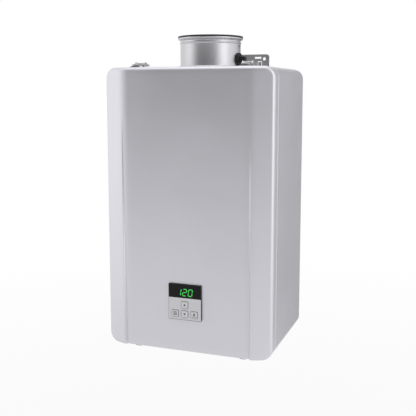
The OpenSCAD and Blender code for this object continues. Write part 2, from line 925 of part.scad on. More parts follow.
// Cold stub, cast in one with the block that holds the inlet filter
module cold_inlet() {
    color(brass) difference() {
        union() {
            translate([cold_x, stub_y, 0]) stub(block_top);
            block(
                [cold_x - block_half, stub_y - block_half, bottom_z + sheet],
                [filter_x + filter_d / 2 + 6, stub_y + block_half, block_top]
            );
        }
        translate([cold_x, stub_y, 0]) stub_bore_cut();
        translate([filter_x, stub_y, bottom_z]) cylinder(d = filter_d + 2 * gap, h = filter_depth + 2);
    }
}

module filter_plug() {
    color(black) translate([filter_x, stub_y, bottom_z]) {
        translate([0, 0, -filter_head_h]) cylinder(d = filter_d + 8, h = filter_head_h - gap);
        translate([0, 0, -eps]) cylinder(d = filter_d, h = filter_depth + eps);
    }
}

module cord_gland() {
    color(black) translate([gland_x, gland_y, bottom_z]) difference() {
        union() {
            translate([0, 0, -gland_head_h]) cylinder(d = gland_d + 8, h = gland_head_h);
            translate([0, 0, -eps]) cylinder(d = gland_d, h = gland_len + eps);
            translate([0, 0, sheet]) cylinder(d = gland_d + 7, h = 6, $fn = 6);
        }
        translate([0, 0, -gland_head_h - eps])
            cylinder(d = gland_bore, h = gland_head_h + gland_len + 2 * eps);
    }
}

// Sheet hood that gathers the exhaust from the heat exchanger into the socket
module exhaust_hood() {
    color(steel) difference() {
        stand(vent_y - stack_d / 2, vent_y + stack_d / 2) polygon(hood_outline(0, 0));
        stand(vent_y - stack_d / 2 + stack_wall, vent_y + stack_d / 2 - stack_wall)
            polygon(hood_outline(stack_wall, eps));
        translate([0, vent_y, hood_top - 2 * stack_wall])
            cylinder(d = exhaust_d - 2 * collar_stop, h = 4 * stack_wall);
    }
}

// Front view of the hood, inset from its outer face and lengthened downwards
function hood_outline(inset, extra) =
    let (
        half = stack_w / 2 - inset,
        shoulder = exhaust_d / 2 + 12 - inset,
        low = exchanger_top - extra,
        skirt = exchanger_top + hood_skirt_h - inset,
        high = hood_top - inset
    )
    [[-half, low], [half, low], [half, skirt], [shoulder, high], [-shoulder, high], [-half, skirt]];

// Open box of the heating stack about the vent's axis
module stack_box(bottom, top) {
    difference() {
        block([-stack_w / 2, vent_y - stack_d / 2, bottom], [stack_w / 2, vent_y + stack_d / 2, top]);
        block(
            [-stack_w / 2 + stack_wall, vent_y - stack_d / 2 + stack_wall, bottom - eps],
            [stack_w / 2 - stack_wall, vent_y + stack_d / 2 - stack_wall, top + eps]
        );
    }
}

function tube_y(i) = pipe_y + i * tube_pitch;

// Finned copper block with its water tubes and return bends
module heat_exchanger() {
    fin_pitch = (stack_w - 2 * fin_inset) / (fin_count - 1);
    color(copper) {
        stack_box(chamber_top, exchanger_top);
        for (i = [0 : fin_count - 1])
            translate([fin_inset - stack_w / 2 + i * fin_pitch, 0, 0]) block(
                [-fin_t / 2, vent_y - stack_d / 2 + 1, chamber_top + 3],
                [fin_t / 2, vent_y + stack_d / 2 - 1, exchanger_top - 3]
            );
        for (i = [0 : tube_count - 1])
            rod([-tube_end, tube_y(i), tube_z], [tube_end, tube_y(i), tube_z], tube_d);
        for (i = [0 : tube_count - 2])
            translate([(i % 2 == 0 ? -1 : 1) * tube_end, tube_y(i + 0.5), tube_z])
                rotate([0, 0, i % 2 == 0 ? 90 : -90])
                    rotate_extrude(angle = 180) translate([tube_pitch / 2, 0]) circle(d = tube_d);
    }
}

module electrode_places() {
    for (x = [-electrode_x, electrode_x])
        translate([x, vent_y - stack_d / 2, burner_top + electrode_rise]) children();
}

module combustion_chamber() {
    color(copper) difference() {
        stack_box(burner_top, chamber_top);
        electrode_places() rotate([90, 0, 0])
            cylinder(d = electrode_d + 2 * gap, h = 4 * stack_wall, center = true);
    }
}

module electrodes() {
    color("#d9d4c8") electrode_places() {
        rod([0, -electrode_out, 0], [0, 0, 0], 2.5 * electrode_d);
        rod([0, -eps, 0], [0, electrode_in, 0], electrode_d);
    }
}

module burner_box() {
    wall = burner_wall;
    color(steel) difference() {
        block([-burner_half_w, burner_front, burner_floor], [burner_half_w, burner_back, burner_top]);
        block(
            [-burner_half_w + wall, burner_front + wall, burner_floor + wall],
            [burner_half_w - wall, burner_back - wall, burner_top - wall]
        );
        block(
            [-stack_w / 2 + stack_wall, vent_y - stack_d / 2 + stack_wall, burner_top - 2 * wall],
            [stack_w / 2 - stack_wall, vent_y + stack_d / 2 - stack_wall, burner_top + eps]
        );
        block(
            [fan_x - fan_r + fan_wall, fan_front + fan_wall, burner_floor - eps],
            [fan_outlet_x - fan_wall, fan_back - fan_wall, burner_floor + 2 * wall]
        );
    }
}

// Row of pressed burner bars, each with a flame slot along its top
module burner_bars() {
    half_w = (bar_pitch - bar_gap) / 2;
    low = burner_floor + burner_wall;
    high = burner_top - 14;
    skin = 1;
    slot_half_w = 1.5;
    color(steel) at_bars() difference() {
        block([-half_w, burner_front + bar_inset, low], [half_w, burner_back - bar_inset, high]);
        block(
            [skin - half_w, burner_front + bar_inset + skin, low - eps],
            [half_w - skin, burner_back - bar_inset - skin, high - 2 * skin]
        );
        block([-slot_half_w, burner_front + 14, high - 6], [slot_half_w, burner_back - 14, high + eps]);
    }
}

// Repeats something at each burner bar
module at_bars() {
    for (i = [0 : bar_count - 1]) translate([(i - (bar_count - 1) / 2) * bar_pitch, 0, 0]) children();
}

module gas_manifold() {
    end = burner_half_w - manifold_inset;
    color("#8f9194") {
        block(
            [-end, manifold_front, manifold_z - manifold_h / 2],
            [end, manifold_front + manifold_h, manifold_z + manifold_h / 2]
        );
        at_bars() translate([0, 0, manifold_z])
            rod([0, manifold_front + manifold_h - 1, 0], [0, burner_front, 0], nozzle_d);
    }
}

// Gas valve between its stub and the pipe to the manifold, long enough to carry its solenoids
module gas_valve() {
    back = max(stub_y + stub_d / 2 + 6, gas_pipe_y + solenoid_back + solenoid_d / 2 + 2);
    color("#8f9194") {
        block(
            [-gas_x - gas_valve_half_w, gas_pipe_y - 12, stub_top],
            [-gas_x + gas_valve_half_w, back, gas_valve_top]
        );
        translate([-gas_x, gas_pipe_y, gas_valve_top - 1])
            cylinder(d = gas_pipe_d + 10, h = gas_union_h + 1);
    }
}

module gas_solenoids() {
    color(black) for (x = [-solenoid_x, solenoid_x])
        translate([x - gas_x, gas_pipe_y + solenoid_back, gas_valve_top]) {
            cylinder(d = solenoid_d, h = solenoid_h);
            translate([0, 0, solenoid_h - 1]) cylinder(d = 12, h = 7);
        }
}

module gas_pipe() {
    color(steel) pipe_run([
        [-gas_x, gas_pipe_y, gas_valve_top + gas_union_h],
        [-gas_x, gas_pipe_y, manifold_z],
        [-burner_half_w + manifold_inset, gas_pipe_y, manifold_z]
    ], gas_pipe_d);
}

// Scroll of the combustion fan, with its outlet up into the burner box
module fan_housing() {
    color("#7d8084") difference() {
        union() {
            translate([fan_x, 0, fan_z]) rod([0, fan_front, 0], [0, fan_back, 0], 2 * fan_r);
            block([fan_x - fan_r, fan_front, fan_z], [fan_outlet_x, fan_back, burner_floor]);
        }
        translate([fan_x, 0, fan_z])
            rod([0, fan_front + fan_wall, 0], [0, fan_back - fan_wall, 0], 2 * (fan_r - fan_wall));
        block(
            [fan_x - fan_r + fan_wall, fan_front + fan_wall, fan_z],
            [fan_outlet_x - fan_wall, fan_back - fan_wall, burner_floor + eps]
        );
        translate([fan_x, 0, fan_z]) {
            rod([0, fan_back - 2 * fan_wall, 0], [0, fan_back + eps, 0], 0.9 * fan_r);
            rod([0, fan_front - eps, 0], [0, fan_front + 2 * fan_wall, 0], shaft_d + 4);
        }
    }
}

// Fan wheel on its shaft
module fan_impeller() {
    blade_count = 18;
    front = fan_front + fan_wall + 3;
    back = fan_back - fan_wall - 3;
    color("#5a5d61") translate([fan_x, 0, fan_z]) {
        rod([0, front, 0], [0, front + 2, 0], 2 * impeller_r);
        rod([0, front, 0], [0, front + 16, 0], 3 * shaft_d);
        rod([0, fan_front - motor_len + 6, 0], [0, front + 1, 0], shaft_d);
        difference() {
            rod([0, back - 3, 0], [0, back, 0], 2 * impeller_r);
            rod([0, back - 4, 0], [0, back + 1, 0], 2 * impeller_r - 20);
        }
        for (i = [0 : blade_count - 1]) rotate([0, i * 360 / blade_count, 0])
            block([impeller_r - 11, front + 1, -0.6], [impeller_r - 1.5, back - 1, 0.6]);
    }
}

module fan_motor() {
    color("#3a3c3f") translate([fan_x, 0, fan_z]) difference() {
        union() {
            rod([0, fan_front - motor_len, 0], [0, fan_front - 3, 0], motor_d);
            rod([0, fan_front - 4, 0], [0, fan_front, 0], motor_d + 2 * motor_flange);
        }
        rod([0, fan_front - motor_len + 4, 0], [0, fan_front + eps, 0], shaft_d + 2 * run_fit);
    }
}

module igniter() {
    color("#2b2b2e") block(
        [-burner_half_w - igniter_w, vent_y - igniter_half_d, burner_floor + igniter_rise],
        [-burner_half_w, vent_y + igniter_half_d, burner_floor + igniter_rise + igniter_h]
    );
}

// Tube of the flow sensor, with two bearing bars for its turbine
module flow_sensor() {
    bar_half = sensor_d / 2 - sensor_wall + 1;
    color("#2f3033") translate([cold_x, stub_y, 0]) {
        difference() {
            translate([0, 0, block_top]) cylinder(d = sensor_d, h = sensor_h);
            translate([0, 0, block_top - eps])
                cylinder(d = sensor_d - 2 * sensor_wall, h = sensor_h + 2 * eps);
        }
        for (z = sensor_bars) difference() {
            block([-bar_half, -3, z], [bar_half, 3, z + sensor_bar_h]);
            translate([0, 0, z - eps])
                cylinder(d = sensor_axle_d + 2 * run_fit, h = sensor_bar_h + 2 * eps);
        }
    }
}

module flow_turbine() {
    low = sensor_bars[0] + sensor_bar_h + gap;
    high = sensor_bars[1] - gap;
    blade_r = sensor_d / 2 - sensor_wall - 1.5;
    color("#e4e4e0") translate([cold_x, stub_y, 0]) {
        translate([0, 0, sensor_bars[0] + 1])
            cylinder(d = sensor_axle_d, h = sensor_bars[1] - sensor_bars[0] + 2);
        translate([0, 0, low]) cylinder(d = 3 * sensor_axle_d, h = high - low);
        for (a = [0 : 60 : 300]) rotate([0, 0, a])
            block([2, -0.75, low + 3], [blade_r, 0.75, high - 3]);
    }
}

module water_valve() {
    color(brass) translate([cold_x, stub_y, 0]) {
        block([-valve_half, -valve_half, sensor_top], [valve_half, valve_half, valve_top]);
        translate([0, 0, sensor_top + valve_h / 2])
            rod([valve_half - 1, 0, 0], [valve_half + valve_motor_len, 0, 0], valve_motor_d);
    }
}

module cold_pipe() {
    jog = valve_top + cold_jog_h;
    color(copper) pipe_run([
        [cold_x, stub_y, valve_top], [cold_x, stub_y, jog], [riser_x, stub_y, jog],
        [riser_x, pipe_y, jog], [riser_x, pipe_y, tube_z], [tube_end, pipe_y, tube_z]
    ], tube_d);
}

module hot_pipe() {
    jog = stub_top + hot_jog_h;
    color(copper) pipe_run([
        [hot_x, stub_y, stub_top], [hot_x, stub_y, jog], [hot_x, return_y, jog],
        [hot_riser_x, return_y, jog], [hot_riser_x, return_y, tube_z], [tube_end, return_y, tube_z]
    ], tube_d);
}

// Housing of the circuit board that runs the burner, open towards the left wall, with louvres
module controller_box() {
    front = vent_y - controller_half_d;
    back = vent_y + controller_half_d;
    wall = controller_wall;
    color("#e1e1dd") difference() {
        block([-inner_half_w, front, controller_low], [controller_inner_x, back, controller_top]);
        block(
            [-inner_half_w - eps, front + wall, controller_low + wall],
            [controller_inner_x - wall, back - wall, controller_top - wall]
        );
        for (i = [0 : louvre_count - 1])
            translate([
                controller_inner_x,
                vent_y + (i - (louvre_count - 1) / 2) * louvre_pitch,
                controller_top - louvre_drop
            ])
                block([-wall - eps, -louvre_w / 2, -louvre_h], [eps, louvre_w / 2, 0]);
    }
}

// Pressed bracket that hangs the heating stack from the back plate
module stack_bracket() {
    back = vent_y + stack_d / 2;
    mid = (burner_top + chamber_top) / 2;
    shelf = mid - hanger_t / 2;
    color(zinc) across(stack_w - 2 * hanger_inset) polygon([
        [back, mid - hanger_h], [back + hanger_t, mid - hanger_h], [back + hanger_t, shelf],
        [inner_back_y - hanger_t, shelf], [inner_back_y - hanger_t, mid - hanger_h],
        [inner_back_y, mid - hanger_h], [inner_back_y, shelf + hanger_t], [back, shelf + hanger_t]
    ]);
}

case_shell();
front_frame();
back_plate();
upper_wall_bracket();
lower_wall_bracket();
bracket_screws();
front_cover();
cover_gasket();
flue_collar();
flue_rim_seal();
exhaust_socket();
collar_screws();
test_port_boss();
test_port_cap();
latch_bases();
latch_pins();
latch_lever(-1, 1);  // latch_lever_top_left
latch_lever(1, 1);  // latch_lever_top_right
latch_lever(-1, -1);  // latch_lever_bottom_left
latch_lever(1, -1);  // latch_lever_bottom_right
latch_bail(-1, 1);  // latch_bail_top_left
latch_bail(1, 1);  // latch_bail_top_right
latch_bail(-1, -1);  // latch_bail_bottom_left
latch_bail(1, -1);  // latch_bail_bottom_right
latch_keepers();
control_housing();
display_window();
display_digits();
keypad();
button(0, 1);  // button_up
button(0, 0);  // button_down
button(-1, 0);  // button_left
button(1, 0);  // button_right
control_board();
gas_inlet();
cold_inlet();
hot_outlet();
filter_plug();
cord_gland();
exhaust_hood();
heat_exchanger();
combustion_chamber();
burner_box();
burner_bars();
gas_manifold();
gas_valve();
gas_solenoids();
gas_pipe();
fan_housing();
fan_impeller();
fan_motor();
igniter();
electrodes();
flow_sensor();
flow_turbine();
water_valve();
cold_pipe();
hot_pipe();
controller_box();
stack_bracket();
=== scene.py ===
"""Wall-hung tankless gas water heater, dressed for a plain studio picture."""

import json
import math

import bpy
from mathutils import Matrix, Vector


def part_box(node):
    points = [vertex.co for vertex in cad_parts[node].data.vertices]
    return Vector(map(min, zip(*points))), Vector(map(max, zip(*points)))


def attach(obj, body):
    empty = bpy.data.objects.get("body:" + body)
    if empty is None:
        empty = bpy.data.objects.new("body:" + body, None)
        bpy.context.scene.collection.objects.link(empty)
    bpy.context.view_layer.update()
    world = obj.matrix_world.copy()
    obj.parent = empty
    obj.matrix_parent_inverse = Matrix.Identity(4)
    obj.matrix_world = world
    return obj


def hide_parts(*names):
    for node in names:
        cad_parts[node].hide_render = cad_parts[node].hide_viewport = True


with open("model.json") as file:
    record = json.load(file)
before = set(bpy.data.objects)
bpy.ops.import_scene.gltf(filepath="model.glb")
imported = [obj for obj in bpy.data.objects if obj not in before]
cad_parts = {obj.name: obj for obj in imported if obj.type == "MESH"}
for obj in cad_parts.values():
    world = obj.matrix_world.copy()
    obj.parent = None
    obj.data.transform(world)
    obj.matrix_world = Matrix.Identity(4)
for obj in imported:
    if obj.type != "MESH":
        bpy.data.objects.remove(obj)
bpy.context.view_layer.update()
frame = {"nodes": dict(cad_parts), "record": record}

MM = 0.001


def box_mm(node):
    """Lowest and highest corner of a CAD node in millimetres."""
    low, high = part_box(node)
    return low / MM, high / MM


# Sizes in millimetres, taken from the frame where a node shows them
COVER_LOW, COVER_HIGH = box_mm("front_cover")
KEYPAD_LOW, KEYPAD_HIGH = box_mm("keypad")
HOUSING_LOW, HOUSING_HIGH = box_mm("control_housing")
COLLAR_LOW, COLLAR_HIGH = box_mm("flue_collar")
SEAL_LOW, SEAL_HIGH = box_mm("flue_rim_seal")
CAP_LOW, CAP_HIGH = box_mm("test_port_cap")
FRAME_LOW, FRAME_HIGH = box_mm("front_frame")

FRONT_Y = COVER_LOW.y
TOP_Z = COVER_HIGH.z
BOTTOM_Z = COVER_LOW.z
HALF_W = COVER_HIGH.x
CASE_H = TOP_Z - BOTTOM_Z
COVER_D = COVER_HIGH.y - FRONT_Y
CORNER_R = 22.0
SHEET = 1.0

# Shape of the cover's front and of the hem at the end of its flange
FLAT_HALF = 120.0
BEND_R = 71.0
BEVEL = math.radians(20.5)
ROLL_R = 8.0
RECESS_HALF = 134.8
RECESS_DEPTH = 5.5
RECESS_STEP = 3.2
RECESS_START = 100.0
HEM = 0.6

# Vent collar and the seal on its rim
VENT = Vector(((COLLAR_LOW.x + COLLAR_HIGH.x) / 2, (COLLAR_LOW.y + COLLAR_HIGH.y) / 2, COLLAR_LOW.z))
VENT_H = COLLAR_HIGH.z - COLLAR_LOW.z
VENT_R = 62.5
VENT_WALL = 1.5
VENT_RIM = 5.0
VENT_FOOT = 12.0
SEAL_CLEARANCE = 1.0

# Test port in the collar's side, turned from the right towards the front
PORT_TURN = math.radians(6)
PORT_FLANGE = 2.0
PORT_GAP = 0.3
PORT_SEAT_R = VENT_R + VENT_WALL + PORT_FLANGE + PORT_GAP
PORT_CAP_LENGTH = 15.0

# Gap between the control panel and the edge of its hole in the cover
PANEL_GAP = 0.7
HOLE_HALF = HOUSING_HIGH.x + PANEL_GAP
HOLE_LOW = HOUSING_LOW.z - PANEL_GAP
HOLE_HIGH = HOUSING_HIGH.z + PANEL_GAP

# Thickness of the marks printed on the buttons, and of the line of painted shade along the keypad's edges
PRINT_AND_SHADE_T = 0.06

# Pipe thread of the three stubs, and how much of a stub's length stays plain
THREAD_PITCH = 1.814
THREAD_DEPTH = 0.55
THREAD_SEAT = 0.02
STUB_PLAIN = 1.0

# Most of a side that the rounding of one corner takes up
CORNER_SHARE = 0.45

# Finishes: share of fine grain beside slow clouds, and the part of their range that is used
GRAIN_SHARE = 0.6
MIX_LOW = 0.3
MIX_HIGH = 0.7

# Roughness of the smoothest finish and of a clear coat
LEAST_ROUGHNESS = 0.02
COAT_ROUGHNESS = 0.12

# Printed film: highest y of a normal that looks forwards, and the colour of the plastic at its sides
FORWARDS = -0.9
FILM_SIDE = (0.03, 0.03, 0.032, 1)

# Sockets of a node that mixes two colours, by number, since their names repeat
COLOUR_SHARE = 0
FIRST_COLOUR = 6
SECOND_COLOUR = 7
MIXED_COLOUR = 2

WHITE = (1, 1, 1, 1)
WHITE_LIGHT = 1.0


def link(tree, source, target):
    tree.links.new(source, target)


def new_node(tree, kind, **values):
    """Adds a shader node and sets its properties."""
    node = tree.nodes.new(kind)
    for key, value in values.items():
        setattr(node, key, value)
    return node


def empty_material(name):
    """A material without nodes, and its tree."""
    material = bpy.data.materials.new(name)
    material.use_nodes = True
    material.node_tree.nodes.clear()
    return material, material.node_tree


def add_noise(tree, place, scale, detail):
    """Noise over a place."""
    noise = new_node(tree, "ShaderNodeTexNoise")
    noise.inputs["Scale"].default_value = scale
    noise.inputs["Detail"].default_value = detail
    link(tree, place, noise.inputs["Vector"])
    return noise.outputs["Fac"]


def add_range(tree, value, start, end, first, last):
    """A value carried evenly from one range into another."""
    run = new_node(tree, "ShaderNodeMapRange")
    run.inputs["From Min"].default_value = start
    run.inputs["From Max"].default_value = end
    run.inputs["To Min"].default_value = first
    run.inputs["To Max"].default_value = last
    link(tree, value, run.inputs["Value"])
    return run.outputs["Result"]


def mix_shaders(tree, share, first, second):
    """One shader that turns into another with a share."""
    mix = new_node(tree, "ShaderNodeMixShader")
    link(tree, share, mix.inputs["Fac"])
    link(tree, first, mix.inputs[1])
    link(tree, second, mix.inputs[2])
    return mix.outputs["Shader"]


def even(scale):
    """Grain of the same size along all three axes."""
    return (scale, scale, scale)


def finish_material(
    name, colour, metallic, roughness, grain, contrast=0.06, spread=0.05, bump=0.1, bump_depth=0.00005,
    edge=0.0004, specular=0.5, coat=0.0, clouds=9.0
):
    """A finish with fine grain and slow clouds in its colour and roughness, and relief from the grain.

    Grain and clouds are in cycles a metre.
    """
    material, tree = empty_material(name)
    output = new_node(tree, "ShaderNodeOutputMaterial")
    shader = new_node(tree, "ShaderNodeBsdfPrincipled")
    shader.inputs["Metallic"].default_value = metallic
    shader.inputs["Specular IOR Level"].default_value = specular
    shader.inputs["Coat Weight"].default_value = coat
    shader.inputs["Coat Roughness"].default_value = COAT_ROUGHNESS
    link(tree, shader.outputs["BSDF"], output.inputs["Surface"])

    place = new_node(tree, "ShaderNodeTexCoord")
    stretch = new_node(tree, "ShaderNodeMapping")
    stretch.inputs["Scale"].default_value = grain
    link(tree, place.outputs["Object"], stretch.inputs["Vector"])
    fine = add_noise(tree, stretch.outputs["Vector"], scale=1.0, detail=4.0)
    slow = add_noise(tree, place.outputs["Object"], scale=clouds, detail=3.0)
    cloudy = new_node(tree, "ShaderNodeMath", operation="MULTIPLY")
    cloudy.inputs[1].default_value = 1 - GRAIN_SHARE
    link(tree, slow, cloudy.inputs[0])
    both = new_node(tree, "ShaderNodeMath", operation="MULTIPLY_ADD")
    both.inputs[1].default_value = GRAIN_SHARE
    link(tree, fine, both.inputs[0])
    link(tree, cloudy.outputs["Value"], both.inputs[2])
    mixed = both.outputs["Value"]

    tint = new_node(tree, "ShaderNodeValToRGB")
    darker, lighter = tint.color_ramp.elements
    darker.position = MIX_LOW
    lighter.position = MIX_HIGH
    darker.color = [channel * (1 - contrast) for channel in colour] + [1]
    lighter.color = [min(1.0, channel * (1 + contrast)) for channel in colour] + [1]
    link(tree, mixed, tint.inputs["Fac"])
    link(tree, tint.outputs["Color"], shader.inputs["Base Color"])

    smoothest = max(LEAST_ROUGHNESS, roughness - spread)
    roughest = min(1.0, roughness + spread)
    rough = add_range(tree, mixed, MIX_LOW, MIX_HIGH, smoothest, roughest)
    link(tree, rough, shader.inputs["Roughness"])

    rounded = new_node(tree, "ShaderNodeBevel", samples=4)
    rounded.inputs["Radius"].default_value = edge
    relief = new_node(tree, "ShaderNodeBump")
    relief.inputs["Strength"].default_value = bump
    relief.inputs["Distance"].default_value = bump_depth
    link(tree, fine, relief.inputs["Height"])
    link(tree, rounded.outputs["Normal"], relief.inputs["Normal"])
    link(tree, relief.outputs["Normal"], shader.inputs["Normal"])
    return material


def shader_and_tint(material):
    """The shader of a finish and the node that gives it its colour."""
    nodes = material.node_tree.nodes
    shader = next(node for node in nodes if node.type == "BSDF_PRINCIPLED")
    tint = next(node for node in nodes if node.type == "VALTORGB")
    return shader, tint


def film_material(name, colour):
    """Silver printed film on dark plastic: only faces that look forwards carry the print."""
    material = finish_material(
        name, colour, metallic=0.3, roughness=0.42, grain=even(2800), contrast=0.04, spread=0.04, bump=0.06,
        edge=0.0002,
    )
    tree = material.node_tree
    shader, tint = shader_and_tint(material)
    facing = new_node(tree, "ShaderNodeNewGeometry")
    parts = new_node(tree, "ShaderNodeSeparateXYZ")
    link(tree, facing.outputs["True Normal"], parts.inputs["Vector"])
    front = new_node(tree, "ShaderNodeMath", operation="LESS_THAN")
    front.inputs[1].default_value = FORWARDS
    link(tree, parts.outputs["Y"], front.inputs[0])
    printed = new_node(tree, "ShaderNodeMix", data_type="RGBA")
    printed.inputs[FIRST_COLOUR].default_value = FILM_SIDE
    link(tree, front.outputs["Value"], printed.inputs[COLOUR_SHARE])
    link(tree, tint.outputs["Color"], printed.inputs[SECOND_COLOUR])
    link(tree, printed.outputs[MIXED_COLOUR], shader.inputs["Base Color"])
    return material


def lit_material(name, colour, strength):
    """Lit figures behind the window, a little uneven as real ones are."""
    material = finish_material(
        name, colour, metallic=0.0, roughness=0.3, grain=even(900), contrast=0.15, spread=0.05, bump=0.02
    )
    shader, tint = shader_and_tint(material)
    link(material.node_tree, tint.outputs["Color"], shader.inputs["Emission Color"])
    shader.inputs["Emission Strength"].default_value = strength
    return material


# Plain finishes by slot, and the dark ink of the printed marks, which also paints a line of shade along the
# keypad's edges
FINISHES = {
    "silver_paint": dict(
        colour=(0.74, 0.732, 0.785), metallic=0.75, roughness=0.42, grain=even(2600),
        contrast=0.05, spread=0.03, bump=0.06, coat=0.12,
    ),
    "zinc_steel": dict(
        colour=(0.42, 0.42, 0.425), metallic=0.85, roughness=0.5, grain=even(420),
        contrast=0.12, spread=0.08, bump=0.12,
    ),
    "plated_steel": dict(
        colour=(0.62, 0.62, 0.635), metallic=1.0, roughness=0.18, grain=(300, 300, 1500),
        contrast=0.08, spread=0.05, bump=0.05,
    ),
    "vent_steel": dict(
        colour=(0.61, 0.605, 0.625), metallic=1.0, roughness=0.4, grain=(220, 220, 2600),
        contrast=0.04, spread=0.03, bump=0.04, edge=0.0003,
    ),
    "black_rubber": dict(
        colour=(0.02, 0.02, 0.021), metallic=0.0, roughness=0.55, grain=even(1900),
        contrast=0.2, spread=0.08, bump=0.25, specular=0.35,
    ),
    "black_plastic": dict(
        colour=(0.025, 0.025, 0.027), metallic=0.0, roughness=0.42, grain=even(2400),
        contrast=0.15, spread=0.06, bump=0.2,
    ),
    "display_window": dict(
        colour=(0.010, 0.010, 0.011), metallic=0.0, roughness=0.16, grain=even(300),
        contrast=0.2, spread=0.04, bump=0.01, specular=0.15,
    ),
    "board_green": dict(
        colour=(0.03, 0.15, 0.06), metallic=0.0, roughness=0.4, grain=even(700),
        contrast=0.25, spread=0.08, bump=0.15,
    ),
    "copper": dict(
        colour=(0.52, 0.25, 0.155), metallic=1.0, roughness=0.36, grain=even(260),
        contrast=0.24, spread=0.1, bump=0.08, clouds=16.0,
    ),
    "brass": dict(
        colour=(0.68, 0.5, 0.22), metallic=1.0, roughness=0.36, grain=even(500),
        contrast=0.1, spread=0.08, bump=0.12,
    ),
    "cast_aluminium": dict(
        colour=(0.52, 0.52, 0.53), metallic=0.9, roughness=0.48, grain=even(900),
        contrast=0.1, spread=0.08, bump=0.35,
    ),
    "fan_wheel": dict(
        colour=(0.34, 0.34, 0.35), metallic=0.9, roughness=0.42, grain=even(500),
        contrast=0.1, spread=0.08, bump=0.12,
    ),
    "motor_black": dict(
        colour=(0.04, 0.04, 0.043), metallic=0.2, roughness=0.45, grain=even(1200),
        contrast=0.2, spread=0.08, bump=0.2,
    ),
    "ceramic": dict(
        colour=(0.72, 0.68, 0.6), metallic=0.0, roughness=0.3, grain=even(400),
        contrast=0.06, spread=0.06, bump=0.06,
    ),
    "white_plastic": dict(
        colour=(0.74, 0.74, 0.71), metallic=0.0, roughness=0.45, grain=even(1500),
        contrast=0.04, spread=0.06, bump=0.15,
    ),
    "ink_and_painted_shade": dict(
        colour=(0.07, 0.07, 0.075), metallic=0.0, roughness=0.5, grain=even(1800),
        contrast=0.2, spread=0.05, bump=0.05,
    ),
}
MATERIALS = {name: finish_material(name, **finish) for name, finish in FINISHES.items()}
MATERIALS["keypad_silver"] = film_material("keypad_silver", colour=(0.82, 0.815, 0.85))
MATERIALS["button_silver"] = film_material("button_silver", colour=(0.84, 0.835, 0.865))
MATERIALS["display_green"] = lit_material("display_green", colour=(0.045, 0.52, 0.08), strength=0.68)


def dress_frame():
    """Gives every CAD node the finish of its slot."""
    for part in frame["record"]["subparts"]:
        mesh = frame["nodes"][part["node"]].data
        mesh.materials.clear()
        mesh.materials.append(MATERIALS[part["material_slot"]])


def add_piece(name, corners, faces, slot, body, replaced=(), sharp=32, material=None):
    """Makes a piece from corners in millimetres and lets it ride on a body."""
    mesh = bpy.data.meshes.new(name)
    mesh.from_pydata([Vector(corner) * MM for corner in corners], [], faces)
    mesh.validate()
    piece = bpy.data.objects.new(name, mesh)
    bpy.context.scene.collection.objects.link(piece)
    mesh.materials.append(material or MATERIALS[slot])
    smooth(mesh, sharp)
    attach(piece, body)
    if replaced:
        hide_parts(*replaced)
    return piece


def smooth(mesh, sharp):
    """Smooth shading, with edges sharper than an angle in degrees kept crisp."""
    mesh.polygons.foreach_set("use_smooth", [True] * len(mesh.polygons))
    mesh.set_sharp_from_angle(angle=math.radians(sharp))
    mesh.update()


def thicken(piece, thickness, sharp):
    """Turns a skin into sheet that lies behind it."""
    sheet = piece.modifiers.new("sheet", "SOLIDIFY")
    sheet.thickness = thickness * MM
    sheet.offset = -1
    sheet.use_even_offset = True
    graph = bpy.context.evaluated_depsgraph_get()
    mesh = bpy.data.meshes.new_from_object(piece.evaluated_get(graph))
    piece.modifiers.clear()
    piece.data = mesh
    smooth(mesh, sharp)


def quads(rows, columns, wrap_rows=False, wrap_columns=False, first=0):
    """Faces of a grid of corners stored row by row."""
    faces = []
    for row in range(rows if wrap_rows else rows - 1):
        for column in range(columns if wrap_columns else columns - 1):
            right = (column + 1) % columns
            below = (row + 1) % rows
            faces.append((
                first + row * columns + column, first + row * columns + right,
                first + below * columns + right, first + below * columns + column,
            ))
    return faces


def softened(points, radius, steps):
    """A closed outline with each corner rounded off."""
    rounded = []
    count = len(points)
    for index, point in enumerate(points):
        here = Vector(point)
        before = Vector(points[index - 1]) - here
        after = Vector(points[(index + 1) % count]) - here
        cut = min(radius, before.length * CORNER_SHARE, after.length * CORNER_SHARE)
        start = here + before.normalized() * cut
        end = here + after.normalized() * cut
        for step in range(steps + 1):
            share = step / steps
            rounded.append(start.lerp(here, share).lerp(here.lerp(end, share), share))
    return rounded


def turned(profile, centre, along="z", steps=128):
    """Corners and faces of a ring turned from a closed profile of (radius, distance along its axis)."""
    corners = []
    for radius, height in profile:
        for step in range(steps):
            angle = 2 * math.pi * step / steps
            wide = radius * math.cos(angle)
            deep = radius * math.sin(angle)
            offset = (wide, deep, height) if along == "z" else (height, wide, deep)
            corners.append(Vector(centre) + Vector(offset))
    return corners, quads(len(profile), steps, wrap_rows=True, wrap_columns=True)


def outline_points(inset, arc_steps=10):
    """Points (x, z) of the case's front outline, inset."""
    radius = CORNER_R - inset
    middle_z = (TOP_Z + BOTTOM_Z) / 2
    reach_x = HALF_W - inset - radius
    reach_z = CASE_H / 2 - inset - radius
    points = []
    for quarter, (side, end) in enumerate(((1, 1), (-1, 1), (-1, -1), (1, -1))):
        for step in range(arc_steps + 1):
            angle = (quarter + step / arc_steps) * math.pi / 2
            points.append((
                side * reach_x + radius * math.cos(angle), middle_z + end * reach_z + radius * math.sin(angle)
            ))
    return points


